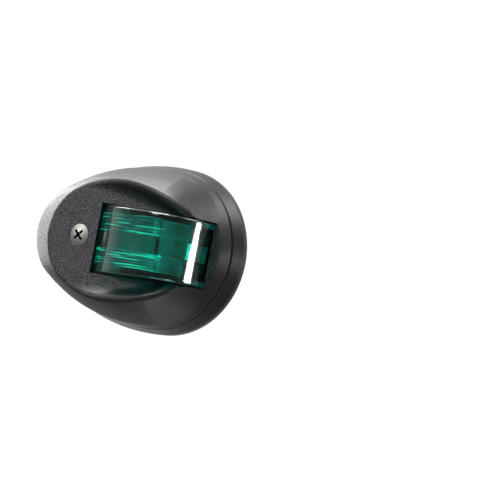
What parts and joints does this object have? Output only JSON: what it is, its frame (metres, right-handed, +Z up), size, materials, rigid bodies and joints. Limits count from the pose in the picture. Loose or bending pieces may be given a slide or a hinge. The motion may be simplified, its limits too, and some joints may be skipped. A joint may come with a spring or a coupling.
{
  "type": "boat navigation light",
  "caption": "Egg-shaped starboard side light with a green wrap-round lens, a hollowed black cover held by a cross-recess screw, and a sealed base for a hull side.",
  "frame": {"origin": "on the flat mounting face at the back, at the middle of the base's length and width", "axes": "+X forward towards the bow (the fat end), +Y inboard into the hull, +Z up"},
  "size_m": [0.088, 0.0324, 0.0606],
  "materials": {
    "black_plastic": "satin, fine spark-eroded grain",
    "base_plastic": "satin",
    "green_lens": "clear green polycarbonate, polished",
    "black_rubber": "matt",
    "foam_rubber": "closed-cell sponge",
    "bead": "cured sealant",
    "stainless": "passivated stainless",
    "brass": "turned",
    "aluminium": "folded sheet",
    "board": "white solder resist",
    "led_body": "moulded",
    "phosphor": "silicone with phosphor",
    "chip_black": "moulded epoxy",
    "tin": "tinned",
    "nylon": "natural nylon",
    "white_plastic": "smooth"
  },
  "bodies": {
    "base_unit": {"base": "base_plastic", "mounting_gasket": "foam_rubber", "rim_seal": "black_rubber", "lens_gasket": "black_rubber", "cable_grommet": "black_rubber", "cover_insert": "brass", "screw_seal": "black_rubber", "led_bracket": "aluminium", "bracket_screws": "stainless", "led_board": "board", "board_screws": "stainless", "led_packages": "led_body", "led_phosphor": "phosphor", "resistors": "chip_black", "resistors_ends": "tin", "diode": "chip_black", "diode_ends": "tin", "driver_chip": "chip_black", "driver_legs": "tin", "reflector": "white_plastic", "terminal_block": "nylon", "terminal_clamps": "brass", "terminal_screws": "stainless", "wiring_guard": "white_plastic"},
    "lamp_cover": {"cover": "black_plastic", "lens": "green_lens", "lens_bead": "bead"},
    "ring": {"screw_ring": "black_rubber"},
    "screw": {"cover_screw": "stainless"}
  },
  "joints": [
    {"name": "cover_lift", "type": "slide", "parent": "base_unit", "child": "lamp_cover", "axis": [0, -1, 0], "range_m": [0, 0.06]},
    {"name": "screw_draw", "type": "slide", "parent": "lamp_cover", "child": "ring", "axis": [0, -1, 0], "range_m": [0, 0.0126]},
    {"name": "screw_turn", "type": "hinge", "parent": "ring", "child": "screw", "pos_m": [-0.0177, 0, 0], "axis": [0, -1, 0], "range_deg": [0, 6500]}
  ],
  "couplings": [
    {"joint": "screw_turn", "follows": "screw_draw", "rad_per_m": 8976}
  ]
}
